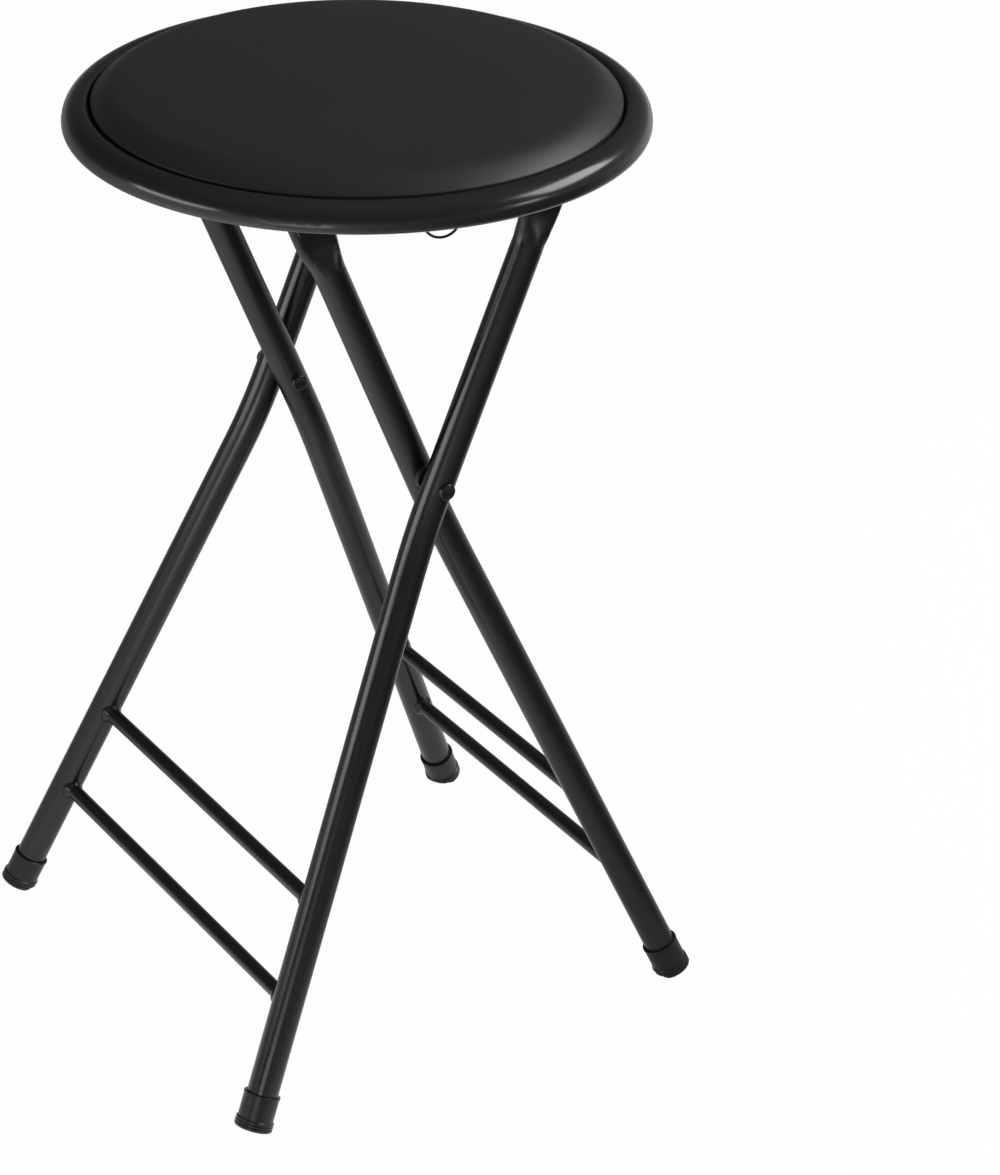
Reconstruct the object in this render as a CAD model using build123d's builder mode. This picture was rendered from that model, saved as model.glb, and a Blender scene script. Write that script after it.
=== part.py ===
from build123d import *
from math import cos, pi, radians, sin, sqrt
import os

# Folding stool with a round padded seat on two crossed frames of bent steel tube.
# Millimetres, +Z up. The origin is on the floor, below the pivot of the crossed frames.
# The pivot axis runs along Y. The near side is -Y and the far side is +Y.

os.makedirs("parts", exist_ok=True)

# Overall sizes: the crown of the seat above the floor and the outside of its edge band
seat_top_height = 609.6
rim_outer_diameter = 357.9

# Leg tubes
tube_diameter = 20.0
tube_wall = 1.2
bend_radius = 330.0
leg_gap = 4.5

# Legs: gap between their tops and the rails, and drops below the rods and below the pivot
leg_top_clearance = 4.1
pivot_drop = 184.7
outer_bend_drop = 29.2
inner_bend_drop = 35.9

# Shares of the pivot's height: how far from the pivot the legs stand, and how far they splay
outer_foot_share = 0.44465
inner_foot_share = 0.42694
outer_splay_share = 0.16813
inner_splay_share = 0.17791

# Shares of the seat's radius: both rods before and behind the pivot, outer legs to the side
hinge_rod_share = 0.42917
catch_rod_share = 0.43979
outer_leg_share = 0.57837

# Pressed leg tops
pressed_thickness = 8.0
pressed_reach = 17.0
flare_length = 26.0
flare_steps = 5
round_corner_angle = 45.0
pressed_corner_angle = 78.0

# Cross bars
rung_diameter = 10.0
weld_leg = 2.0
weld_length = 3.5
outer_upper_rung_height = 132.7
outer_lower_rung_height = 75.5
inner_upper_rung_height = 135.3
inner_lower_rung_height = 77.9

# Rubber feet
foot_wall = 1.35
foot_flange_step = 0.8
foot_flange_length = 6.0
foot_length = 24.5
foot_sole = 8.0
foot_overhang = 2.0
foot_edge_radius = 4.0
foot_lip_radius = 0.8

# Rods, rivets and what is on them
rod_diameter = 8.0
rod_head_diameter = 13.0
rod_head_height = 3.0
rod_end_chamfer = 0.8
rod_end_reach = 4.5
rivet_diameter = 6.0
rivet_head_diameter = 10.0
rivet_head_height = 2.4
rivet_flange_height = 0.7
rivet_dome_diameter = 7.8
washer_diameter = 16.0
sleeve_diameter = 13.0

# Fits
pin_fit = 0.05
seating_gap = 0.05
running_gap = 0.3
cut_overrun = 5.0

# Range of the fold: the seat tilts up while the frames close
seat_tilt_degrees = 112.0
frame_fold_degrees = 39.5

# Seat board and pad
seat_center_x = 2.5
board_thickness = 9.0
pad_height = 17.6
pad_edge_radius = 10.0
cover_thickness = 1.2
cover_tuck = 9.0

# Rolled edge band: roundings of its section, from the inner wall over the top to the rolled edge
rim_sheet = 1.2
rim_inner_gap = 1.15
rim_inner_rounding = 4.6
rim_upper_rounding = 12.5
rim_lower_rounding = 5.35
rim_nose_rise = 2.8
rim_flange_width = 20.0
rim_roll_opening = 4.0

# Rails under the board
rail_sheet = 2.5
rail_depth = 12.0
rail_flange_width = 20.0
rail_end_margin = 3.0
rail_corner_radius = 3.5
eye_diameter = 21.0
hook_diameter = 25.0
notch_mouth_angle = 7.0

# Screws
screw_diameter = 3.6
screw_head_diameter = 7.0
screw_head_height = 2.3
screw_head_taper = 0.8
screw_tip_cover = 1.2
rail_screw_count = 3
rail_screw_spacing = 50.0
rim_screw_count = 6
rim_screw_start_angle = 30.0

# Hanging loop of bent wire and its clip
loop_angle = -101.6
loop_inset = 25.35
loop_wire_diameter = 1.6
loop_radius = 11.5
loop_corner_radius = 2.5
clip_sheet = 1.2
clip_length = 10.0
clip_reach = 12.0
clip_screw_share = 0.7


def pressed_half_width(half_thickness, radius):
    """Half width of a tube pressed flat to a half thickness, with its girth kept."""
    return half_thickness + pi / 2 * (radius - half_thickness)


# Sizes that follow from the ones above
tube_radius = tube_diameter / 2
rod_radius = rod_diameter / 2
rivet_radius = rivet_diameter / 2
rung_radius = rung_diameter / 2
leg_end_radius = pressed_half_width(pressed_thickness / 2, tube_radius)
rim_outer_radius = rim_outer_diameter / 2
board_top = seat_top_height - pad_height
board_underside = board_top - board_thickness
flange_top = board_underside - cover_thickness
flange_underside = flange_top - rim_sheet
pin_height = board_underside - rail_sheet - leg_top_clearance - leg_end_radius
pivot_height = pin_height - pivot_drop
hinge_rod_x = rim_outer_radius * hinge_rod_share
catch_rod_x = -rim_outer_radius * catch_rod_share
outer_half_spacing = rim_outer_radius * outer_leg_share
inner_half_spacing = outer_half_spacing - tube_diameter - leg_gap
rail_half_spacing = (outer_half_spacing + inner_half_spacing) / 2
rail_inner_face = rail_half_spacing - rail_sheet / 2
rail_outer_face = rail_half_spacing + rail_sheet / 2


def leg_axis(pin_x, half_spacing, bend_drop, foot_share, splay_share):
    """Pin, bend and floor points on the axis of a near leg."""
    pin = Vector(pin_x, -half_spacing, pin_height)
    pivot = Vector(0, -half_spacing, pivot_height)
    bend = pivot + (pivot - pin) * (bend_drop / pivot_drop)
    floor = Vector(pivot_height * foot_share, -half_spacing - pivot_height * splay_share, 0)
    return pin, bend, floor


def write_part(part, label):
    """Name a finished piece and write it."""
    part.label = label
    export_step(part, f"parts/{label}.step")


def write_pair(near_part, name):
    """Write a near piece and its mirror image on the far side."""
    with BuildPart() as far:
        mirror(near_part, about=Plane.XZ)
    write_part(near_part, f"{name}_near")
    write_part(far.part, f"{name}_far")


def turning_plane(x, height):
    """Plane for a half section: length towards the near side, then radius."""
    return Plane(origin=(x, 0, height), x_dir=(0, -1, 0), z_dir=(-1, 0, 0))


outer_pin, outer_bend, outer_floor = leg_axis(
    hinge_rod_x, outer_half_spacing, outer_bend_drop, -outer_foot_share, outer_splay_share
)
inner_pin, inner_bend, inner_floor = leg_axis(
    catch_rod_x, inner_half_spacing, inner_bend_drop, inner_foot_share, inner_splay_share
)


# Legs

def tube_outline(plane, half_width, half_thickness, corner_angle):
    """Section of a tube between round and flat: two side arcs and two face arcs."""
    corner_x = half_width - half_thickness * (1 - cos(radians(corner_angle)))
    corner_y = half_thickness * sin(radians(corner_angle))
    with BuildSketch(plane) as outline:
        with BuildLine():
            ThreePointArc((corner_x, -corner_y), (half_width, 0), (corner_x, corner_y))
            ThreePointArc((corner_x, corner_y), (0, half_thickness), (-corner_x, corner_y))
            ThreePointArc((-corner_x, corner_y), (-half_width, 0), (-corner_x, -corner_y))
            ThreePointArc((-corner_x, -corner_y), (0, -half_thickness), (corner_x, -corner_y))
        make_face()
    return outline.sketch


def flare_outlines(start, up, across, inset):
    """Sections along the flare, from the round tube to the pressed top."""
    outlines = []
    for step in range(flare_steps):
        run_share = step / (flare_steps - 1)
        press_share = run_share ** 2 * (3 - 2 * run_share)
        half_thickness = tube_radius + (pressed_thickness / 2 - tube_radius) * press_share
        half_width = pressed_half_width(half_thickness, tube_radius)
        corner_angle = round_corner_angle + (pressed_corner_angle - round_corner_angle) * press_share
        plane = Plane(origin=start + up * (flare_length * run_share), x_dir=across, z_dir=up)
        outlines.append(
            tube_outline(plane, half_width - inset, half_thickness - inset, corner_angle)
        )
    return outlines


def bent_leg(pin, bend, floor):
    """Near leg: bent tube with a pressed, rounded and holed top."""
    up = (pin - bend).normalized()
    down = (floor - bend).normalized()
    across = Vector(0, 1, 0).cross(up)
    flare_end = pin - up * pressed_reach
    flare_start = flare_end - up * flare_length
    tube_end = floor - down * foot_sole
    outer_outlines = flare_outlines(flare_start, up, across, 0)
    inner_outlines = flare_outlines(flare_start, up, across, tube_wall)
    pin_plane = Plane(origin=pin, x_dir=across, z_dir=(0, -1, 0))
    with BuildPart() as leg:
        with BuildLine():
            FilletPolyline(flare_start, bend, tube_end, radius=bend_radius)
        with BuildSketch(Plane(origin=flare_start, x_dir=(0, 1, 0), z_dir=up * -1)):
            Circle(tube_radius)
            Circle(tube_radius - tube_wall, mode=Mode.SUBTRACT)
        sweep()
        loft(sections=outer_outlines)
        loft(sections=inner_outlines, mode=Mode.SUBTRACT)
        extrude(outer_outlines[-1], amount=pressed_reach + leg_end_radius)
        extrude(inner_outlines[-1], amount=pressed_reach + leg_end_radius, mode=Mode.SUBTRACT)
        with BuildSketch(pin_plane):
            Rectangle(
                2 * (leg_end_radius + cut_overrun),
                leg_end_radius + cut_overrun,
                align=(Align.CENTER, Align.MIN),
            )
            Circle(leg_end_radius, mode=Mode.SUBTRACT)
        extrude(amount=tube_radius, both=True, mode=Mode.SUBTRACT)
        with BuildSketch(pin_plane):
            Circle(rod_radius + pin_fit)
        extrude(amount=tube_radius, both=True, mode=Mode.SUBTRACT)
        with BuildSketch(Plane(origin=(0, pin.Y, pivot_height), x_dir=across, z_dir=(0, -1, 0))):
            Circle(rivet_radius + pin_fit)
        extrude(amount=tube_radius + cut_overrun, both=True, mode=Mode.SUBTRACT)
    return leg.part


write_pair(bent_leg(outer_pin, outer_bend, outer_floor), "outer_leg")
write_pair(bent_leg(inner_pin, inner_bend, inner_floor), "inner_leg")


# Rubber feet, cut level where they stand

def foot_cap(bend, floor):
    """Near foot: a cup on the tube's end with a thick sole and a flange."""
    up = (bend - floor).normalized()
    across = Vector(0, 1, 0).cross(up).normalized()
    bore_radius = tube_radius + seating_gap
    body_radius = bore_radius + foot_wall
    flange_radius = body_radius + foot_flange_step
    with BuildPart() as cap:
        with BuildSketch(Plane(origin=floor, x_dir=across, z_dir=across.cross(up))) as section:
            with BuildLine():
                Polyline(
                    (0, -foot_overhang),
                    (flange_radius, -foot_overhang),
                    (flange_radius, foot_flange_length),
                    (body_radius, foot_flange_length + foot_flange_step),
                    (body_radius, foot_length),
                    (bore_radius, foot_length),
                    (bore_radius, foot_sole),
                    (0, foot_sole),
                    close=True,
                )
            make_face()
            fillet(section.vertices().group_by(Axis.Y)[0].sort_by(Axis.X)[-1], foot_edge_radius)
            fillet(section.vertices().group_by(Axis.Y)[-1].sort_by(Axis.X)[-1], foot_lip_radius)
        revolve(axis=Axis(floor, up))
        split(bisect_by=Plane.XY, keep=Keep.TOP)
    return cap.part


write_pair(foot_cap(outer_bend, outer_floor), "outer_foot")
write_pair(foot_cap(inner_bend, inner_floor), "inner_foot")


# Cross bars, coped to the legs with a ring of weld at each end

def cross_bar(height, bend, floor):
    """Bar from leg to leg at a height, its ends shaped to the tubes."""
    end = bend + (floor - bend) * ((bend.Z - height) / bend.Z)
    down = (floor - bend).normalized()
    reach = -end.Y
    weld_start = reach - tube_radius - weld_length
    weld_radius = rung_radius + weld_leg
    with BuildPart() as bar:
        with BuildSketch(turning_plane(end.X, height)):
            with BuildLine():
                Polyline(
                    (0, 0),
                    (0, rung_radius),
                    (weld_start, rung_radius),
                    (reach - tube_radius, weld_radius),
                    (reach, weld_radius),
                    (reach, 0),
                    close=True,
                )
            make_face()
        revolve(axis=Axis((end.X, 0, height), (0, 1, 0)))
        with BuildSketch(Plane(origin=end, z_dir=down)):
            Circle(tube_radius + seating_gap)
        extrude(amount=2 * tube_diameter, both=True, mode=Mode.SUBTRACT)
        mirror(about=Plane.XZ)
    return bar.part


write_part(cross_bar(outer_upper_rung_height, outer_bend, outer_floor), "outer_rung_upper")
write_part(cross_bar(outer_lower_rung_height, outer_bend, outer_floor), "outer_rung_lower")
write_part(cross_bar(inner_upper_rung_height, inner_bend, inner_floor), "inner_rung_upper")
write_part(cross_bar(inner_lower_rung_height, inner_bend, inner_floor), "inner_rung_lower")


# Pieces turned about an axis along Y. Lengths run from the middle plane towards the near side.

def sleeve(x, height, start, end, inner_radius, outer_radius):
    """Near ring or sleeve between two lengths."""
    with BuildPart() as ring:
        with BuildSketch(Plane(origin=(x, -start, height), z_dir=(0, -1, 0))):
            Circle(outer_radius)
            Circle(inner_radius, mode=Mode.SUBTRACT)
        extrude(amount=end - start)
    return ring.part


# Pivot rivets and their spacer washers

pivot_axis = Axis((0, 0, pivot_height), (0, 1, 0))
rivet_head_radius = rivet_head_diameter / 2
rivet_dome_radius = rivet_dome_diameter / 2
rivet_inner_seat = inner_half_spacing - tube_radius - running_gap
rivet_outer_seat = outer_half_spacing + tube_radius
rivet_inner_flange = rivet_inner_seat - rivet_flange_height
rivet_outer_flange = rivet_outer_seat + rivet_flange_height
rivet_inner_crown = rivet_inner_seat - rivet_head_height
rivet_outer_crown = rivet_outer_seat + rivet_head_height
rivet_saddle = tube_radius - sqrt(tube_radius ** 2 - rivet_head_radius ** 2)

with BuildPart() as pivot_rivet:
    with BuildSketch(Plane(origin=(0, -rivet_outer_seat, pivot_height), z_dir=(0, 1, 0))):
        Circle(rivet_head_radius)
    extrude(amount=rivet_saddle)
    with BuildSketch(Plane(origin=(0, -outer_half_spacing, pivot_height), z_dir=outer_pin - outer_bend)):
        Circle(tube_radius + seating_gap)
    extrude(amount=rivet_head_diameter, both=True, mode=Mode.SUBTRACT)
    with BuildSketch(turning_plane(0, pivot_height)):
        with BuildLine():
            TangentArc((rivet_inner_crown, 0), (rivet_inner_flange, rivet_dome_radius), tangent=(0, 1))
            Polyline(
                (rivet_inner_flange, rivet_dome_radius),
                (rivet_inner_flange, rivet_head_radius),
                (rivet_inner_seat, rivet_head_radius),
                (rivet_inner_seat, rivet_radius),
                (rivet_outer_seat, rivet_radius),
                (rivet_outer_seat, rivet_head_radius),
                (rivet_outer_flange, rivet_head_radius),
                (rivet_outer_flange, rivet_dome_radius),
            )
            TangentArc((rivet_outer_crown, 0), (rivet_outer_flange, rivet_dome_radius), tangent=(0, 1))
            Line((rivet_outer_crown, 0), (rivet_inner_crown, 0))
        make_face()
    revolve(axis=pivot_axis)
write_pair(pivot_rivet.part, "pivot_rivet")

pivot_washer = sleeve(
    0,
    pivot_height,
    inner_half_spacing + tube_radius + running_gap,
    outer_half_spacing - tube_radius - seating_gap,
    rivet_radius + pin_fit,
    washer_diameter / 2,
)
write_pair(pivot_washer, "pivot_washer")


# Hinge rod through the outer leg tops, with a domed head outside each, and its two sleeves

rod_seat = outer_half_spacing + pressed_thickness / 2 + seating_gap
rod_crown = rod_seat + rod_head_height
rod_head_radius = rod_head_diameter / 2

with BuildPart() as hinge_rod:
    with BuildSketch(turning_plane(hinge_rod_x, pin_height)):
        with BuildLine():
            Polyline((0, 0), (0, rod_radius), (rod_seat, rod_radius), (rod_seat, rod_head_radius))
            TangentArc((rod_crown, 0), (rod_seat, rod_head_radius), tangent=(0, 1))
            Line((rod_crown, 0), (0, 0))
        make_face()
    revolve(axis=Axis((hinge_rod_x, 0, pin_height), (0, 1, 0)))
    mirror(about=Plane.XZ)
write_part(hinge_rod.part, "hinge_rod")

hinge_sleeve = sleeve(
    hinge_rod_x,
    pin_height,
    rail_outer_face + running_gap,
    outer_half_spacing - pressed_thickness / 2 - seating_gap,
    rod_radius + pin_fit,
    sleeve_diameter / 2,
)
write_pair(hinge_sleeve, "hinge_sleeve")


# Catch rod through the inner leg tops, its ends in the hooks of the rails

with BuildPart() as catch_rod:
    with BuildSketch(Plane(origin=(catch_rod_x, 0, pin_height), x_dir=(1, 0, 0), z_dir=(0, -1, 0))):
        Circle(rod_radius)
    extrude(amount=rail_outer_face + rod_end_reach, both=True)
    chamfer(catch_rod.edges().filter_by(GeomType.CIRCLE), rod_end_chamfer)
write_part(catch_rod.part, "catch_rod")


# Seat board with pilot holes for its screws

seat_axis = Axis((seat_center_x, 0, 0), (0, 0, 1))
rim_inner_radius = rim_outer_radius - rim_upper_rounding - rim_inner_rounding
rim_flange_radius = rim_inner_radius - rim_flange_width
pad_radius = rim_inner_radius - rim_inner_gap
board_radius = pad_radius - cover_thickness - seating_gap
cover_tuck_radius = pad_radius - cover_tuck
rim_screw_radius = (rim_flange_radius + cover_tuck_radius) / 2
rail_flange_center = rail_outer_face - rail_flange_width / 2
loop_ring_radius = rim_outer_radius - loop_inset
clip_screw_radius = loop_ring_radius - clip_reach * clip_screw_share
screw_length = board_thickness + rim_sheet - screw_tip_cover
screw_hole_radius = screw_diameter / 2 + pin_fit


def level_plane(height):
    """Level plane centred on the seat."""
    return Plane.XY.offset(height).move(Location((seat_center_x, 0, 0)))


def screw_places(height):
    """Groups of screw places on a level: rails, rim and clip."""
    rail = GridLocations(rail_screw_spacing, 2 * rail_flange_center, rail_screw_count, 2)
    rim = PolarLocations(rim_screw_radius, rim_screw_count, start_angle=rim_screw_start_angle)
    clip = PolarLocations(clip_screw_radius, 1, start_angle=loop_angle)
    base = Location((seat_center_x, 0, height))
    return [[base * place for place in group] for group in (rail, rim, clip)]


with BuildPart() as seat_board:
    with BuildSketch(level_plane(board_underside)):
        Circle(board_radius)
    extrude(amount=board_thickness)
    for group in screw_places(board_underside):
        with Locations(*group):
            Cylinder(
                screw_hole_radius,
                screw_length - rim_sheet + pin_fit,
                align=(Align.CENTER, Align.CENTER, Align.MIN),
                mode=Mode.SUBTRACT,
            )
write_part(seat_board.part, "seat_board")


# Foam pad and its cover: a crowned top, a rounded edge and a side drawn down past the board

radial_plane = Plane(origin=(seat_center_x, 0, 0), x_dir=(1, 0, 0), z_dir=(0, -1, 0))
pad_edge_center = Vector(pad_radius - pad_edge_radius, board_top)
crown_radius = (pad_edge_center.X ** 2 + pad_height ** 2 - pad_edge_radius ** 2) / (
    2 * (pad_height - pad_edge_radius)
)
crown_center = Vector(0, seat_top_height - crown_radius)
crown_tilt = (pad_edge_center - crown_center).normalized()


def pad_half_section(inset):
    """Half section of the pad above the board, drawn inside its outer surface by an inset."""
    edge_radius = pad_edge_radius - inset
    crown = (0, seat_top_height - inset)
    shoulder = pad_edge_center + crown_tilt * edge_radius
    side = (pad_edge_center.X + edge_radius, board_top)
    with BuildSketch() as section:
        with BuildLine():
            TangentArc(crown, shoulder, tangent=(1, 0))
            TangentArc(shoulder, side, tangent=(crown_tilt.Y, -crown_tilt.X))
            Polyline(side, (0, board_top), crown)
        make_face()
    return section.sketch


with BuildPart() as seat_foam:
    with BuildSketch(radial_plane):
        add(pad_half_section(cover_thickness + seating_gap))
    revolve(axis=seat_axis)
write_part(seat_foam.part, "seat_foam")

with BuildPart() as seat_cover:
    with BuildSketch(radial_plane):
        add(pad_half_section(0))
        with Locations((0, flange_top)):
            Rectangle(pad_radius, board_top - flange_top, align=Align.MIN)
        add(pad_half_section(cover_thickness), mode=Mode.SUBTRACT)
        with Locations((0, board_underside)):
            Rectangle(
                board_radius + seating_gap,
                board_thickness,
                align=Align.MIN,
                mode=Mode.SUBTRACT,
            )
        with Locations((0, flange_top)):
            Rectangle(cover_tuck_radius, cover_thickness, align=Align.MIN, mode=Mode.SUBTRACT)
    revolve(axis=seat_axis)
write_part(seat_cover.part, "seat_cover")


# Edge band: one sheet, from the flange up the inner wall, over the top and in to a rolled edge

rim_nose_height = flange_underside + rim_nose_rise
rim_crest_x = rim_outer_radius - rim_upper_rounding
rim_roll_x = rim_outer_radius - rim_lower_rounding
rim_curl_radius = rim_lower_rounding - rim_nose_rise


def band_section(inset):
    """Section of the edge band, drawn inside its outer surface by an inset."""
    inner_radius = rim_inner_rounding - inset
    upper_radius = rim_upper_rounding - inset
    lower_radius = rim_lower_rounding - inset
    curl_radius = rim_curl_radius - inset
    wall_x = rim_inner_radius + inset
    crest_height = rim_nose_height + upper_radius
    base_height = flange_underside + inset
    with BuildSketch() as section:
        with BuildLine():
            Line((wall_x, base_height), (wall_x, crest_height - inner_radius))
            CenterArc((rim_crest_x, crest_height - inner_radius), inner_radius, 180, -90)
            CenterArc((rim_crest_x, rim_nose_height), upper_radius, 90, -90)
            CenterArc((rim_roll_x, rim_nose_height), lower_radius, 0, -90)
            CenterArc((rim_roll_x, flange_underside), curl_radius, -90, -90)
            Line((rim_roll_x - curl_radius, flange_underside), (wall_x, base_height))
        make_face()
    return section.sketch


with BuildPart() as seat_rim:
    with BuildSketch(radial_plane):
        add(band_section(0))
        add(band_section(rim_sheet), mode=Mode.SUBTRACT)
        with Locations((rim_inner_radius + rim_sheet, flange_underside)):
            Rectangle(rim_roll_opening, rim_sheet, align=Align.MIN, mode=Mode.SUBTRACT)
        with Locations((rim_flange_radius, flange_underside)):
            Rectangle(rim_flange_width, rim_sheet, align=Align.MIN)
    revolve(axis=seat_axis)
    for group in screw_places(flange_underside)[1:]:
        with Locations(*group):
            Cylinder(
                screw_hole_radius,
                rim_sheet,
                align=(Align.CENTER, Align.CENTER, Align.MIN),
                mode=Mode.SUBTRACT,
            )
write_part(seat_rim.part, "seat_rim")


# Rails: steel angles with an eye on the hinge rod and an open hook over the catch rod

rail_corner_reach = rim_flange_radius - rail_end_margin
rail_half_length = sqrt(rail_corner_reach ** 2 - rail_outer_face ** 2)
eye_radius = eye_diameter / 2
hook_radius = hook_diameter / 2
notch_radius = rod_radius + running_gap
fold_ratio = frame_fold_degrees / seat_tilt_degrees

# The way the catch rod leaves the hook, as the seat lifts and the frames close
leave_x = fold_ratio * (pin_height - pivot_height)
leave_y = catch_rod_x - hinge_rod_x - fold_ratio * catch_rod_x
leave = Vector(leave_x, leave_y).normalized()
leave_side = Vector(-leave.Y, leave.X)
mouth = leave.rotate(Axis.Z, notch_mouth_angle)
notch_center = Vector(catch_rod_x, pin_height)
notch_back = notch_center - leave_side * notch_radius
notch_front = notch_center + leave_side * notch_radius

with BuildPart() as seat_rail:
    with BuildSketch(Plane(origin=(0, -rail_inner_face, 0), x_dir=(1, 0, 0), z_dir=(0, -1, 0))) as web:
        with Locations((seat_center_x, board_underside)):
            Rectangle(2 * rail_half_length, rail_depth, align=(Align.CENTER, Align.MAX))
        fillet(web.vertices().group_by(Axis.Y)[0], rail_corner_radius)
        with Locations((hinge_rod_x, pin_height)):
            Circle(eye_radius)
            Rectangle(2 * eye_radius, board_underside - pin_height, align=(Align.CENTER, Align.MIN))
        with Locations((catch_rod_x, pin_height)):
            Circle(hook_radius)
            Rectangle(2 * hook_radius, board_underside - pin_height, align=(Align.CENTER, Align.MIN))
        with Locations((hinge_rod_x, pin_height)):
            Circle(rod_radius + pin_fit, mode=Mode.SUBTRACT)
        with Locations((catch_rod_x, pin_height)):
            Circle(notch_radius, mode=Mode.SUBTRACT)
        with BuildLine():
            Polyline(
                notch_back,
                notch_front,
                notch_front + mouth * hook_diameter,
                notch_back + leave * hook_diameter,
                close=True,
            )
        make_face(mode=Mode.SUBTRACT)
    extrude(amount=rail_sheet)
    with BuildSketch(Plane.XY.offset(board_underside)):
        with Locations((seat_center_x, -rail_outer_face)):
            Rectangle(
                2 * rail_half_length,
                rail_flange_width,
                align=(Align.CENTER, Align.MIN),
            )
    extrude(amount=-rail_sheet)
    with Locations(*screw_places(board_underside)[0]):
        Cylinder(
            screw_hole_radius,
            rail_sheet,
            align=(Align.CENTER, Align.CENTER, Align.MAX),
            mode=Mode.SUBTRACT,
        )
write_pair(seat_rail.part, "seat_rail")


# Screws, up through the steel into the board

def pan_head_screws(places, underside_drop):
    """Group of screws whose heads sit a drop below their places."""
    with BuildPart() as screws:
        with Locations(*[place * Location((0, 0, -underside_drop)) for place in places]):
            Cylinder(
                screw_diameter / 2,
                screw_length,
                align=(Align.CENTER, Align.CENTER, Align.MIN),
            )
            Cone(
                screw_head_diameter / 2 - screw_head_taper,
                screw_head_diameter / 2,
                screw_head_height,
                align=(Align.CENTER, Align.CENTER, Align.MAX),
            )
    return screws.part


rail_places, rim_places, clip_places = screw_places(board_underside)
rim_drop = board_underside - flange_underside + seating_gap
write_part(pan_head_screws(rail_places, rail_sheet + seating_gap), "rail_screws")
write_part(pan_head_screws(rim_places, rim_drop), "rim_screws")
write_part(pan_head_screws(clip_places, rim_drop + clip_sheet), "loop_clip_screw")


# Hanging loop and the folded strip that holds it, drawn at the loop's place on the rim

wire_radius = loop_wire_diameter / 2
barrel_radius = wire_radius + pin_fit + clip_sheet
barrel_height = flange_underside - seating_gap - barrel_radius
outward = Vector(cos(radians(loop_angle)), sin(radians(loop_angle)), 0)
along = Vector(-outward.Y, outward.X, 0)
barrel_center = Vector(seat_center_x, 0, barrel_height) + outward * loop_ring_radius

with BuildPart() as loop_clip:
    with BuildSketch(Plane(origin=barrel_center, x_dir=outward * -1, z_dir=along)):
        Circle(barrel_radius)
        with Locations((0, barrel_radius)):
            Rectangle(clip_reach, clip_sheet, align=(Align.MIN, Align.MAX))
        Circle(wire_radius + pin_fit, mode=Mode.SUBTRACT)
    extrude(amount=clip_length / 2, both=True)
    with Locations(*[place * Location((0, 0, -rim_drop)) for place in clip_places]):
        Cylinder(screw_hole_radius, 2 * clip_sheet, mode=Mode.SUBTRACT)
write_part(loop_clip.part, "loop_clip")

bar_half = loop_radius - loop_corner_radius

with BuildPart() as hang_loop:
    with BuildLine(Plane(origin=barrel_center, x_dir=along, z_dir=outward)):
        Line((0, 0), (bar_half, 0))
        CenterArc((bar_half, -loop_corner_radius), loop_corner_radius, start_angle=90, arc_size=-90)
        CenterArc((0, -loop_corner_radius), loop_radius, start_angle=0, arc_size=-90)
    with BuildSketch(Plane(origin=barrel_center, z_dir=along)):
        Circle(wire_radius)
    sweep()
    mirror(about=Plane(origin=barrel_center, z_dir=along))
write_part(hang_loop.part, "hang_loop")
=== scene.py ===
from math import cos, pi, radians, sin, tan

import bmesh
import bpy
import numpy as np
from mathutils import Matrix, Vector


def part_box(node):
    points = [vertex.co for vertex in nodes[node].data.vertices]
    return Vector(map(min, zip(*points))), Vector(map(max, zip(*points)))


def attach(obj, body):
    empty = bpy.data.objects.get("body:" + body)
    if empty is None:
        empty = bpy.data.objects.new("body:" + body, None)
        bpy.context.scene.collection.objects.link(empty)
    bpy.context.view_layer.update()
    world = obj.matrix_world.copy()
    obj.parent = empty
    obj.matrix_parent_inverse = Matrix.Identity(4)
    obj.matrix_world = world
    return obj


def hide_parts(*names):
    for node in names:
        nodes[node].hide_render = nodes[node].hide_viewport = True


# Folding stool: round padded seat with a rolled edge band on two crossed frames of bent tube.
# Metres, in the frame of the CAD part: +Z up, origin on the floor below the pivot axis along Y.

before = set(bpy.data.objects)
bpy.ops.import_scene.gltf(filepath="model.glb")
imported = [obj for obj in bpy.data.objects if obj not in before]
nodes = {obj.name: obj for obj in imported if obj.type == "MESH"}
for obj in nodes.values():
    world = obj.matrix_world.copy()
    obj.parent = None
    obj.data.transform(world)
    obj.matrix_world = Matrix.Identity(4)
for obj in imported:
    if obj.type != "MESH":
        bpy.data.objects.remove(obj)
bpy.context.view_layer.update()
MM = 0.001


def add_object(name, data):
    """Put a new object into the scene."""
    made = bpy.data.objects.new(name, data)
    bpy.context.scene.collection.objects.link(made)
    return made


# ---------------------------------------------------------------- camera of the photograph

# Solved from the ellipse of the seat's band and the four feet.
PHOTO_WIDTH = 1000
PHOTO_HEIGHT = 1175
PIXEL_FOCAL = 4002.559
AXIS_PIXEL_X = 334.845
AXIS_PIXEL_Y = 567.778
CAMERA_AZIMUTH = radians(29.892)
CAMERA_ELEVATION = radians(27.481)
CAMERA_PLACE = Vector((-1143.6, -1967.0, 1458.4)) * MM
SENSOR = 36.0

look = Vector((
    sin(CAMERA_AZIMUTH) * cos(CAMERA_ELEVATION),
    cos(CAMERA_AZIMUTH) * cos(CAMERA_ELEVATION),
    -sin(CAMERA_ELEVATION),
))
to_right = Vector((cos(CAMERA_AZIMUTH), -sin(CAMERA_AZIMUTH), 0))
to_top = to_right.cross(look)
away = Vector((sin(CAMERA_AZIMUTH), cos(CAMERA_AZIMUTH), 0))

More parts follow.
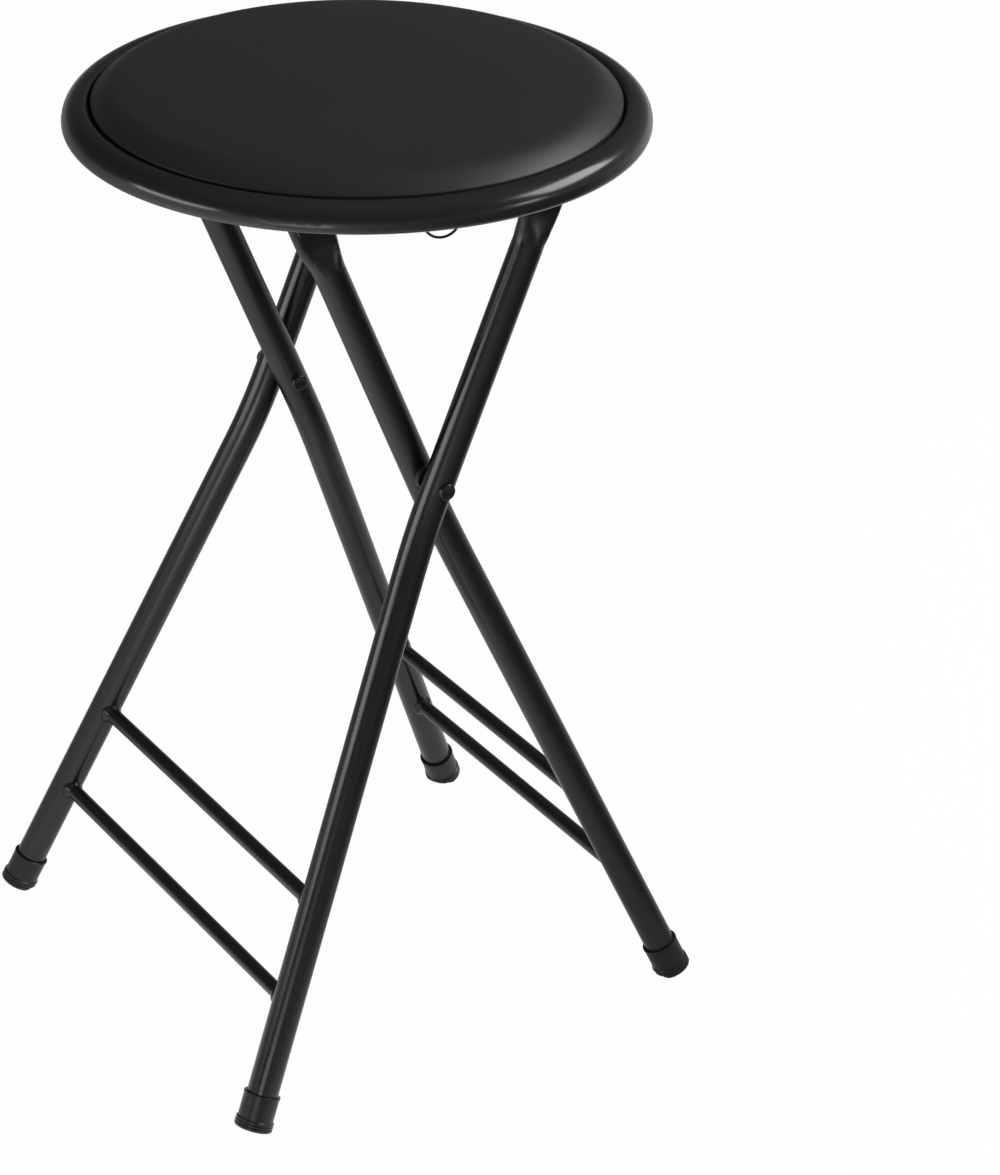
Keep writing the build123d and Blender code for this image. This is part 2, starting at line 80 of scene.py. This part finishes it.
camera_data = bpy.data.cameras.new("photo_camera")
camera_data.sensor_width = SENSOR
camera_data.lens = PIXEL_FOCAL * SENSOR / PHOTO_HEIGHT
camera_data.shift_x = (PHOTO_WIDTH / 2 - AXIS_PIXEL_X) / PHOTO_HEIGHT
camera_data.shift_y = (AXIS_PIXEL_Y - PHOTO_HEIGHT / 2) / PHOTO_HEIGHT
camera = add_object("photo_camera", camera_data)
turn = Matrix((to_right, to_top, -look)).transposed().to_4x4()
camera.matrix_world = Matrix.Translation(CAMERA_PLACE) @ turn
bpy.context.scene.camera = camera
bpy.context.scene.view_settings.view_transform = "Standard"

# ---------------------------------------------------------------- materials

# The Mix node's colour sockets share their names with its other sockets, so they go by number.
COLOUR_A, COLOUR_B, COLOUR_OUT = 6, 7, 2
# Nearly all values of a noise lie between these.
NOISE_LOW, NOISE_HIGH = 0.3, 0.7


def grey(level, warm=0.0):
    """A near neutral colour."""
    return (level * (1 + warm), level, level * (1 - warm), 1)


class ShaderTree:
    """Short ways to add nodes to a shader tree."""

    def __init__(self, tree):
        self.tree = tree

    def node(self, kind, sockets=None, **properties):
        """Add a node, set its properties, and link or set its input sockets."""
        made = self.tree.nodes.new(kind)
        for key, value in properties.items():
            setattr(made, key, value)
        for key, value in (sockets or {}).items():
            if isinstance(value, bpy.types.NodeSocket):
                self.tree.links.new(value, made.inputs[key])
            else:
                made.inputs[key].default_value = value
        return made

    def math(self, operation, first, second):
        """Work out a number from two."""
        made = self.node("ShaderNodeMath", operation=operation, sockets={0: first, 1: second})
        return made.outputs["Value"]

    def spread(self, value, low, high, to_low, to_high):
        """Map a value range onto another, without leaving it."""
        made = self.node("ShaderNodeMapRange", sockets={
            "Value": value,
            "From Min": low,
            "From Max": high,
            "To Min": to_low,
            "To Max": to_high,
        })
        return made.outputs["Result"]

    def blend(self, factor, first, second):
        """Mix two colours."""
        made = self.node("ShaderNodeMix", data_type="RGBA", sockets={
            "Factor": factor,
            COLOUR_A: first,
            COLOUR_B: second,
        })
        return made.outputs[COLOUR_OUT]

    def greys(self, value, stops):
        """Shades of grey along a value from 0 to 1: each stop is a place and a level."""
        made = self.node("ShaderNodeValToRGB", sockets={"Fac": value})
        elements = made.color_ramp.elements
        elements[0].position = stops[0][0]
        elements[1].position = stops[-1][0]
        for place, _ in stops[1:-1]:
            elements.new(place)
        for element, (_, level) in zip(elements, stops):
            element.color = grey(level)
        return made.outputs["Color"]


class Surface(ShaderTree):
    """A node material built up from colour, roughness and bump in the object's own space."""

    def __init__(self, name, **sockets):
        self.material = bpy.data.materials.new(name)
        self.material.use_nodes = True
        super().__init__(self.material.node_tree)
        self.shader = self.tree.nodes["Principled BSDF"]
        for socket, value in sockets.items():
            self.shader.inputs[socket.replace("_", " ")].default_value = value
        self.place = self.node("ShaderNodeTexCoord").outputs["Object"]

    def scaled(self, x, y, z):
        """The object's coordinates stretched along each axis."""
        mapping = self.node("ShaderNodeMapping", sockets={"Vector": self.place, "Scale": (x, y, z)})
        return mapping.outputs["Vector"]

    def noise(self, scale, detail, roughness=0.55, vector=None):
        """Cloudy pattern round a half, finer with more scale."""
        made = self.node("ShaderNodeTexNoise", sockets={
            "Vector": vector or self.place,
            "Scale": scale,
            "Detail": detail,
            "Roughness": roughness,
        })
        return made.outputs["Fac"]

    def cells(self, scale, vector):
        """Distance from the middles of soft-edged cells."""
        made = self.node("ShaderNodeTexVoronoi", feature="SMOOTH_F1", sockets={
            "Vector": vector,
            "Scale": scale,
        })
        return made.outputs["Distance"]

    def colour(self, socket):
        self.tree.links.new(socket, self.shader.inputs["Base Color"])

    def roughness(self, pattern, smooth, rough):
        """Spread a noise over the finish's range of roughness."""
        socket = self.spread(pattern, NOISE_LOW, NOISE_HIGH, smooth, rough)
        self.tree.links.new(socket, self.shader.inputs["Roughness"])

    def bump(self, height, distance, below=None):
        """Raise a pattern, on top of the bump below it if there is one."""
        sockets = {"Height": height, "Distance": distance, "Strength": 1.0}
        if below:
            sockets["Normal"] = below
        made = self.node("ShaderNodeBump", sockets=sockets)
        self.tree.links.new(made.outputs["Normal"], self.shader.inputs["Normal"])
        return made.outputs["Normal"]


DUST_SHARE = 0.35


def painted_steel(name, level, smooth, rough):
    """Black enamel: faint orange peel, cloudy gloss and a little dust in the film."""
    paint = Surface(name, Specular_IOR_Level=0.5)
    dark, light, dusty = grey(level * 0.85), grey(level * 1.2), grey(level * 2.2)
    cloud = paint.noise(scale=14, detail=4)
    peel = paint.noise(scale=420, detail=2, roughness=0.4)
    specks = paint.noise(scale=2600, detail=1)
    dust = paint.math("MULTIPLY", paint.spread(specks, 0.66, 0.74, 0, 1), DUST_SHARE)
    film = paint.blend(cloud, dark, light)
    paint.colour(paint.blend(dust, film, dusty))
    paint.roughness(cloud, smooth, rough)
    paint.bump(peel, distance=0.010 * MM)
    return paint.material


def grained_vinyl(name):
    """Satin black vinyl with a fine pebble grain, and painted shade in the grain's furrows."""
    vinyl = Surface(name, Specular_IOR_Level=0.5)
    wander_reach = 0.6 * MM
    wander = vinyl.noise(scale=240, detail=2)
    bent = vinyl.node("ShaderNodeVectorMath", operation="ADD", sockets={
        0: vinyl.place,
        1: vinyl.node("ShaderNodeCombineXYZ", sockets={
            "X": vinyl.math("MULTIPLY", wander, wander_reach),
            "Y": vinyl.math("MULTIPLY", wander, -wander_reach),
        }).outputs["Vector"],
    }).outputs["Vector"]
    pebble = vinyl.cells(scale=1150, vector=bent)
    pore = vinyl.noise(scale=2800, detail=2)
    cloud = vinyl.noise(scale=11, detail=4)
    base = vinyl.blend(cloud, grey(0.013), grey(0.017))
    # Painted shade: the colour darkens towards the furrows between the pebbles.
    furrow_shade = vinyl.spread(pebble, low=0.1, high=0.7, to_low=0, to_high=0.4)
    vinyl.colour(vinyl.blend(furrow_shade, base, grey(0.011)))
    vinyl.roughness(cloud, smooth=0.43, rough=0.48)
    grain = vinyl.bump(pebble, distance=-0.022 * MM)
    vinyl.bump(pore, distance=0.004 * MM, below=grain)
    return vinyl.material


def moulded_rubber(name):
    """Satin black rubber with a dusty bloom near the floor."""
    rubber = Surface(name, Specular_IOR_Level=0.4)
    height = rubber.node("ShaderNodeSeparateXYZ", sockets={"Vector": rubber.place}).outputs["Z"]
    low_down = rubber.spread(height, low=0, high=9 * MM, to_low=0.5, to_high=0)
    bloom = rubber.math("MULTIPLY", low_down, rubber.noise(scale=160, detail=4))
    rubber.colour(rubber.blend(bloom, grey(0.006), grey(0.016, warm=0.03)))
    rubber.roughness(rubber.noise(scale=90, detail=4), smooth=0.30, rough=0.40)
    rubber.bump(rubber.noise(scale=1500, detail=3), distance=0.015 * MM)
    return rubber.material


def plated_steel(name, level, smooth, rough):
    """Zinc plated steel with fine turned streaks and dull patches."""
    steel = Surface(name, Metallic=1.0)
    patch = steel.noise(scale=130, detail=4)
    streak = steel.noise(scale=900, detail=2, vector=steel.scaled(1, 0.08, 1))
    steel.colour(steel.blend(patch, grey(level * 0.8, warm=0.02), grey(level, warm=-0.01)))
    steel.roughness(patch, smooth, rough)
    steel.bump(streak, distance=0.004 * MM)
    return steel.material


def moulded_nylon(name):
    """Dark nylon, slightly waxy."""
    nylon = Surface(name, Specular_IOR_Level=0.5)
    cloud = nylon.noise(scale=260, detail=3)
    nylon.colour(nylon.blend(cloud, grey(0.012), grey(0.018)))
    nylon.roughness(cloud, smooth=0.34, rough=0.46)
    nylon.bump(nylon.noise(scale=1700, detail=2), distance=0.008 * MM)
    return nylon.material


def plywood(name):
    """Raw plywood: long pale and dark grain with fine open pores."""
    wood = Surface(name, Specular_IOR_Level=0.3)
    dark, pale, pore = (0.52, 0.34, 0.18, 1), (0.72, 0.54, 0.34, 1), (0.30, 0.18, 0.09, 1)
    rings = wood.noise(scale=4.2, detail=6, roughness=0.62, vector=wood.scaled(2.2, 34, 34))
    fibre = wood.noise(scale=46, detail=4, roughness=0.7, vector=wood.scaled(3, 60, 60))
    grain = wood.blend(wood.spread(rings, low=0.36, high=0.66, to_low=0, to_high=1), dark, pale)
    pores = wood.spread(fibre, low=0.56, high=0.72, to_low=0, to_high=0.55)
    wood.colour(wood.blend(pores, grain, pore))
    wood.roughness(fibre, smooth=0.55, rough=0.78)
    wood.bump(fibre, distance=0.05 * MM)
    return wood.material


frame_paint = painted_steel("frame_enamel", level=0.006, smooth=0.21, rough=0.27)
rim_paint = painted_steel("band_enamel", level=0.010, smooth=0.17, rough=0.21)
rod_paint = painted_steel("rod_enamel", level=0.007, smooth=0.20, rough=0.28)
rivet_paint = painted_steel("rivet_enamel", level=0.007, smooth=0.18, rough=0.24)
wire_paint = painted_steel("wire_enamel", level=0.007, smooth=0.24, rough=0.32)
vinyl_cover = grained_vinyl("black_vinyl")
foot_rubber = moulded_rubber("foot_rubber")
screw_zinc = plated_steel("screw_zinc", level=0.62, smooth=0.26, rough=0.42)
washer_nylon = moulded_nylon("washer_nylon")
board_wood = plywood("board_plywood")

# Finishes by the names of the CAD nodes' material slots.
FINISHES = {
    "frame_paint": frame_paint,
    "rim_paint": rim_paint,
    "rod_steel": rod_paint,
    "rivet_steel": rivet_paint,
    "wire_steel": wire_paint,
    "vinyl": vinyl_cover,
    "foam": vinyl_cover,
    "foot_rubber": foot_rubber,
    "screw_steel": screw_zinc,
    "washer_nylon": washer_nylon,
    "plywood": board_wood,
}
for node in nodes.values():
    for material_slot in node.material_slots:
        material_slot.material = FINISHES[material_slot.material.name.split(".")[0]]

# ---------------------------------------------------------------- seat pad

cover_low, cover_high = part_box("seat_cover")
board_low, board_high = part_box("seat_board")
seat_x = (cover_low.x + cover_high.x) / 2
pad_radius = (cover_high.x - cover_low.x) / 2
board_radius = (board_high.x - board_low.x) / 2
pad_top = cover_high.z
board_top = board_high.z

CLEAR = 0.05 * MM
HEM_RISE = 0.1 * MM
GRID_CELLS = 56
SKIRT_STEPS = 4

# The pad's edge: an upright side beside the band, then three arcs that level off to the crown.
SIDE_OUT = 0.3 * MM
SIDE_RISE = 3.0 * MM
TURN_RADIUS, TURN_STEPS = 1.5 * MM, 5
FLANK_RADIUS, FLANK_STEPS = 45.0 * MM, 6
BROW_RADIUS, BROW_STEPS = 25.0 * MM, 9
UPRIGHT = pi / 2
FLANK_SLOPE = radians(45)
BROW_SLOPE = radians(32)
CROWN_SLOPE = radians(5)


def arc(start, radius, from_slope, to_slope, steps):
    """Points that follow a start inwards along an arc, as its slope goes from one to another."""
    centre_x = start[0] - radius * sin(from_slope)
    centre_z = start[1] - radius * cos(from_slope)
    points = []
    for step in range(1, steps + 1):
        slope = from_slope + (to_slope - from_slope) * step / steps
        points.append((centre_x + radius * sin(slope), centre_z + radius * cos(slope)))
    return points


hem_height = cover_low.z + HEM_RISE
side_top = (pad_radius + SIDE_OUT, board_top + SIDE_RISE)
turn_arc = arc(side_top, TURN_RADIUS, UPRIGHT, FLANK_SLOPE, TURN_STEPS)
flank_arc = arc(turn_arc[-1], FLANK_RADIUS, FLANK_SLOPE, BROW_SLOPE, FLANK_STEPS)
brow_arc = arc(flank_arc[-1], BROW_RADIUS, BROW_SLOPE, CROWN_SLOPE, BROW_STEPS)
shoulder_radius, shoulder_height = brow_arc[-1]
crown_fall = pad_top - shoulder_height
crown_power = tan(CROWN_SLOPE) * shoulder_radius / crown_fall
edge_profile = (turn_arc + flank_arc + brow_arc[:-1])[::-1] + [side_top]


def crown(radius):
    """Height of the pad's top at a distance from its centre."""
    return pad_top - crown_fall * (radius / shoulder_radius) ** crown_power


def disc_point(column, row):
    """A point of a square grid moved onto a unit disc."""
    x = 2 * column / GRID_CELLS - 1
    y = 2 * row / GRID_CELLS - 1
    if x == 0 and y == 0:
        return Vector((0, 0))
    if abs(x) > abs(y):
        return Vector((cos(pi / 4 * y / x), sin(pi / 4 * y / x))) * x
    return Vector((sin(pi / 4 * x / y), cos(pi / 4 * x / y))) * y


def pad_form():
    """Closed form: a grid over the crown, rings round the edge and skirt, a grid beneath."""
    mesh = bmesh.new()
    edge_spots = [(i, 0) for i in range(GRID_CELLS)]
    edge_spots += [(GRID_CELLS, i) for i in range(GRID_CELLS)]
    edge_spots += [(i, GRID_CELLS) for i in range(GRID_CELLS, 0, -1)]
    edge_spots += [(0, i) for i in range(GRID_CELLS, 0, -1)]

    def spot_at(column, row, radius, height):
        flat = disc_point(column, row) * radius
        return mesh.verts.new((seat_x + flat.x, flat.y, height(flat.length)))

    def grid(radius, height, flip):
        """Fill the disc and return its outer vertices in order."""
        spots = {}
        for column in range(GRID_CELLS + 1):
            for row in range(GRID_CELLS + 1):
                spots[column, row] = spot_at(column, row, radius, height)
        for column in range(GRID_CELLS):
            for row in range(GRID_CELLS):
                corners = [
                    spots[column, row],
                    spots[column + 1, row],
                    spots[column + 1, row + 1],
                    spots[column, row + 1],
                ]
                mesh.faces.new(corners[::-1] if flip else corners)
        return [spots[spot] for spot in edge_spots]

    profile = list(edge_profile)
    side_radius, side_height = side_top
    inner_radius = board_radius + CLEAR
    base_height = board_top + CLEAR
    steps = range(1, SKIRT_STEPS + 1)
    for step in steps:
        fall = (hem_height - side_height) * step / SKIRT_STEPS
        profile.append((side_radius, side_height + fall))
    profile.append((inner_radius, hem_height))
    for step in steps[:-1]:
        rise = (base_height - hem_height) * step / SKIRT_STEPS
        profile.append((inner_radius, hem_height + rise))
    rings = [grid(shoulder_radius, crown, flip=False)]
    for radius, height in profile:
        rings.append([spot_at(*spot, radius, lambda _: height) for spot in edge_spots])
    rings.append(grid(inner_radius, lambda _: base_height, flip=True))
    for upper, lower in zip(rings, rings[1:]):
        for i in range(len(upper)):
            j = (i + 1) % len(upper)
            mesh.faces.new((upper[i], lower[i], lower[j], upper[j]))
    return mesh


def finished(name, mesh, finish):
    """Turn a form into a smooth object with its finish."""
    bmesh.ops.recalc_face_normals(mesh, faces=mesh.faces)
    data = bpy.data.meshes.new(name)
    mesh.to_mesh(data)
    mesh.free()
    data.materials.append(finish)
    data.polygons.foreach_set("use_smooth", [True] * len(data.polygons))
    return add_object(name, data)


pad = finished("seat_pad", pad_form(), vinyl_cover)
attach(pad, "seat")
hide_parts("seat_cover", "seat_foam")

# ---------------------------------------------------------------- rivets and feet

LATHE_STEPS = 72
CREASE = radians(38)


def lathe(profile, start, direction):
    """Closed turned form: each ring has a radius and a place along the axis, the ends have none."""
    mesh = bmesh.new()
    side = direction.orthogonal().normalized()
    across = direction.cross(side)
    rings = []
    for radius, along in profile:
        middle = start + direction * along
        if radius == 0:
            rings.append([mesh.verts.new(middle)] * LATHE_STEPS)
            continue
        ring = []
        for step in range(LATHE_STEPS):
            angle = 2 * pi * step / LATHE_STEPS
            ring.append(mesh.verts.new(middle + (side * cos(angle) + across * sin(angle)) * radius))
        rings.append(ring)
    for first, second in zip(rings, rings[1:]):
        for i in range(LATHE_STEPS):
            j = (i + 1) % LATHE_STEPS
            corners = []
            for corner in (first[i], second[i], second[j], first[j]):
                if corner not in corners:
                    corners.append(corner)
            mesh.faces.new(corners)
    return mesh


def place_turned(name, mesh, body, finish, stands_for):
    """Put a turned form into the scene, creased at its edges, as a piece that rides on a body."""
    piece = finished(name, mesh, finish)
    piece.data.set_sharp_from_angle(angle=CREASE)
    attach(piece, body)
    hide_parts(*stands_for)


# A rivet's face goes from its middle out: share of the head's radius, and depth in mm.
HEAD_RADIUS = 5.3 * MM
HEAD_DEPTH = 2.6 * MM
SHANK_RADIUS = 2.95 * MM
HEAD_FACE = ((0.0, 0.4), (0.62, 0.4), (0.74, 0.0), (0.84, 0.0), (0.94, 0.256), (1.0, 0.672))

for side_name in ("near", "far"):
    rivet_name = f"pivot_rivet_{side_name}"
    low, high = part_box(rivet_name)
    length = high.y - low.y
    rivet_profile = [(HEAD_RADIUS * share, depth * MM) for share, depth in HEAD_FACE]
    rivet_profile.append((HEAD_RADIUS, HEAD_DEPTH))
    rivet_profile.append((SHANK_RADIUS, HEAD_DEPTH))
    rivet_profile += [(radius, length - along) for radius, along in rivet_profile[::-1]]
    rivet_start = Vector(((low.x + high.x) / 2, low.y, (low.z + high.z) / 2))
    place_turned(
        f"rivet_{side_name}", lathe(rivet_profile, rivet_start, Vector((0, 1, 0))),
        "outer_frame", rivet_paint, [rivet_name],
    )

# A foot cap's collar goes down from its top and its rings go up from its lower end: radius and
# distance in mm. The lower end reaches below the floor and is cut flat there.
LEG_END_HEIGHT = 30 * MM
FOOT_BORE = 10.06 * MM
FOOT_EDGE = 12.3 * MM
FOOT_SUNK = 4.5 * MM
FOOT_COLLAR = ((11.3, 0.0), (11.75, 0.35), (11.75, 1.5), (11.4, 1.9))
FOOT_RINGS = (
    (11.4, 6.6), (12.15, 6.0), (12.25, 5.3), (12.15, 4.9), (11.75, 4.6), (11.75, 4.2), (12.2, 3.9),
    (12.3, 3.2), (12.2, 2.8), (11.8, 2.5), (11.8, 2.2), (12.2, 1.9), (12.3, 1.0), (12.0, 0.4),
    (11.4, 0.0), (7.0, -0.4), (0.0, -0.6),
)


def points_of(name):
    """A CAD node's vertices."""
    vertices = nodes[name].data.vertices
    spots = np.empty(3 * len(vertices))
    vertices.foreach_get("co", spots)
    return spots.reshape(-1, 3)


def tube_end(name):
    """The middle of a leg's lower end, and the way down along the leg there."""
    spots = points_of(name)
    spots = spots[spots[:, 2] < LEG_END_HEIGHT]
    middle = spots.mean(axis=0)
    direction = Vector(np.linalg.svd(spots - middle)[2][2]).normalized()
    if direction.z > 0:
        direction.negate()
    return Vector(middle), direction


def foot_form(foot_name, leg_name):
    """Cap over a leg's end, in the place of its CAD node and flat on the floor."""
    middle, down = tube_end(leg_name)
    foot_along = (points_of(foot_name) - np.array(middle)) @ np.array(down)
    leg_along = (points_of(leg_name) - np.array(middle)) @ np.array(down)
    collar_top = foot_along.min()
    bore_depth = leg_along.max() - collar_top + CLEAR
    lean = (1 - down.z ** 2) ** 0.5
    length = (middle.z - FOOT_EDGE * lean) / -down.z + FOOT_SUNK - collar_top
    profile = [(0.0, bore_depth), (FOOT_BORE, bore_depth), (FOOT_BORE, 0.0)]
    profile += [(radius * MM, below * MM) for radius, below in FOOT_COLLAR]
    profile += [(radius * MM, length - above * MM) for radius, above in FOOT_RINGS]
    foot = lathe(profile, middle + down * collar_top, down)
    cut = bmesh.ops.bisect_plane(
        foot, geom=foot.verts[:] + foot.edges[:] + foot.faces[:],
        plane_co=(0, 0, 0), plane_no=(0, 0, 1), clear_inner=True,
    )["geom_cut"]
    rim = [part for part in cut if isinstance(part, bmesh.types.BMEdge)]
    bmesh.ops.edgenet_fill(foot, edges=rim)
    return foot


for frame_name in ("outer", "inner"):
    for side_name in ("near", "far"):
        foot_name = f"{frame_name}_foot_{side_name}"
        place_turned(
            f"{frame_name}_foot_cap_{side_name}",
            foot_form(foot_name, f"{frame_name}_leg_{side_name}"),
            f"{frame_name}_frame", foot_rubber, [foot_name],
        )

# ---------------------------------------------------------------- floor, sky and lamps


def bearing(degrees_right):
    """Level direction from the stool, turned to the right from the way to the camera."""
    angle = radians(degrees_right)
    return -away * cos(angle) + to_right * sin(angle)


FLOOR_SIZE = 80.0
FLOOR_PAINT = 0.80
FLOOR_GLOW = 0.975
# In gloss the floor shows the studio round it: bearing from the camera in degrees, and level.
FLOOR_SHADES = (
    (-180, 0.40), (-150, 0.30), (-130, 0.33), (-112, 0.44), (-96, 0.85), (-70, 1.0), (-14, 1.0),
    (3, 0.64), (18, 0.42), (33, 0.27), (50, 0.14), (68, 0.06), (90, 0.02), (104, 0.25), (122, 0.52),
    (150, 0.65), (180, 0.40),
)
# Under the stool the shades fade towards white.
NEAR_REACH, FAR_REACH = 0.30, 0.62
NEAR_WHITE = 0.42


def studio_floor():
    """Pale floor that looks white to the camera; gloss sees it shaded all round, as in a studio."""
    mesh = bpy.data.meshes.new("studio_floor")
    half = FLOOR_SIZE / 2
    corners = [(-half, -half, 0), (half, -half, 0), (half, half, 0), (-half, half, 0)]
    mesh.from_pydata(corners, [], [(0, 1, 2, 3)])
    floor = add_object("studio_floor", mesh)
    white = grey(1.0)
    paint = Surface("white_floor")
    paint.tree.nodes.remove(paint.shader)
    parts = paint.node("ShaderNodeSeparateXYZ", sockets={"Vector": paint.place}).outputs

    def reach_along(axis):
        """How far a point of the floor lies along a level direction."""
        first = paint.math("MULTIPLY", parts["X"], axis.x)
        return paint.math("ADD", first, paint.math("MULTIPLY", parts["Y"], axis.y))

    angle = paint.math("ARCTAN2", reach_along(bearing(90)), reach_along(bearing(0)))
    stops = [((degrees + 180) / 360, level) for degrees, level in FLOOR_SHADES]
    shade = paint.greys(paint.spread(angle, -pi, pi, 0, 1), stops)
    reach = paint.node(
        "ShaderNodeVectorMath", operation="LENGTH", sockets={0: paint.place}
    ).outputs["Value"]
    near = paint.spread(reach, NEAR_REACH, FAR_REACH, NEAR_WHITE, 0)
    rays = paint.node("ShaderNodeLightPath").outputs
    glow = paint.node("ShaderNodeEmission", sockets={
        "Color": paint.blend(rays["Is Glossy Ray"], white, paint.blend(near, shade, white)),
        "Strength": 1.0,
    }).outputs["Emission"]
    matt = paint.node("ShaderNodeBsdfDiffuse", sockets={"Color": grey(FLOOR_PAINT)}).outputs["BSDF"]
    seen = paint.math("MAXIMUM", rays["Is Camera Ray"], rays["Is Glossy Ray"])
    seen = paint.math("MAXIMUM", seen, rays["Is Transmission Ray"])
    mixed = paint.node("ShaderNodeMixShader", sockets={
        0: paint.math("MULTIPLY", seen, FLOOR_GLOW),
        1: matt,
        2: glow,
    }).outputs["Shader"]
    paint.tree.links.new(mixed, paint.tree.nodes["Material Output"].inputs["Surface"])
    mesh.materials.append(paint.material)


# Level of the sky by the height of the direction, and its strength away from and at the dark side.
SKY_STOPS = ((0.0, 0.34), (0.12, 0.24), (0.34, 0.17), (0.60, 0.16), (1.0, 0.24))
DARK_BEARING = -155
DARK_FROM, DARK_TO = 0.2, 0.9
BRIGHT_STRENGTH, DARK_STRENGTH = 1.15, 0.45


def studio_sky():
    """Dim grey room round the stool, darkest behind it on the left."""
    world = bpy.data.worlds.new("studio_sky")
    bpy.context.scene.world = world
    world.use_nodes = True
    sky = ShaderTree(world.node_tree)
    direction = sky.node("ShaderNodeTexCoord").outputs["Generated"]
    height = sky.node("ShaderNodeSeparateXYZ", sockets={"Vector": direction}).outputs["Z"]
    toward_dark = sky.node("ShaderNodeVectorMath", operation="DOT_PRODUCT", sockets={
        0: direction,
        1: bearing(DARK_BEARING),
    }).outputs["Value"]
    strength = sky.spread(toward_dark, DARK_FROM, DARK_TO, BRIGHT_STRENGTH, DARK_STRENGTH)
    background = sky.tree.nodes["Background"]
    sky.tree.links.new(sky.greys(height, SKY_STOPS), background.inputs["Color"])
    sky.tree.links.new(strength, background.inputs["Strength"])


LAMP_AIM = Vector((0, 0, 0.42))


def lamp(name, degrees_right, elevation, distance, width, tall, radiance, in_gloss=True):
    """A soft box turned to the stool, hidden from the camera; its power follows its size."""
    data = bpy.data.lights.new(name, "AREA")
    data.shape = "RECTANGLE"
    data.size = width
    data.size_y = tall
    data.energy = radiance * width * tall * pi
    box = add_object(name, data)
    rise = radians(elevation)
    way = bearing(degrees_right) * cos(rise) + Vector((0, 0, sin(rise)))
    box.location = LAMP_AIM + way * distance
    box.rotation_mode = "QUATERNION"
    box.rotation_quaternion = (LAMP_AIM - box.location).to_track_quat("-Z", "Y")
    box.visible_camera = False
    box.visible_glossy = in_gloss


studio_floor()
studio_sky()
lamp("strip_left", -70, 9, distance=2.2, width=1.4, tall=0.34, radiance=5.6)
lamp("box_front_low", -21, -7, distance=1.8, width=0.62, tall=0.38, radiance=3.8)
lamp("box_right", 97, 37, distance=2.4, width=1.6, tall=0.85, radiance=7.0)
lamp("box_right_low", 65, 14, distance=2.4, width=0.44, tall=0.24, radiance=8.0)
lamp("fill_right", 100, 40, distance=2.6, width=1.8, tall=1.2, radiance=7.0, in_gloss=False)
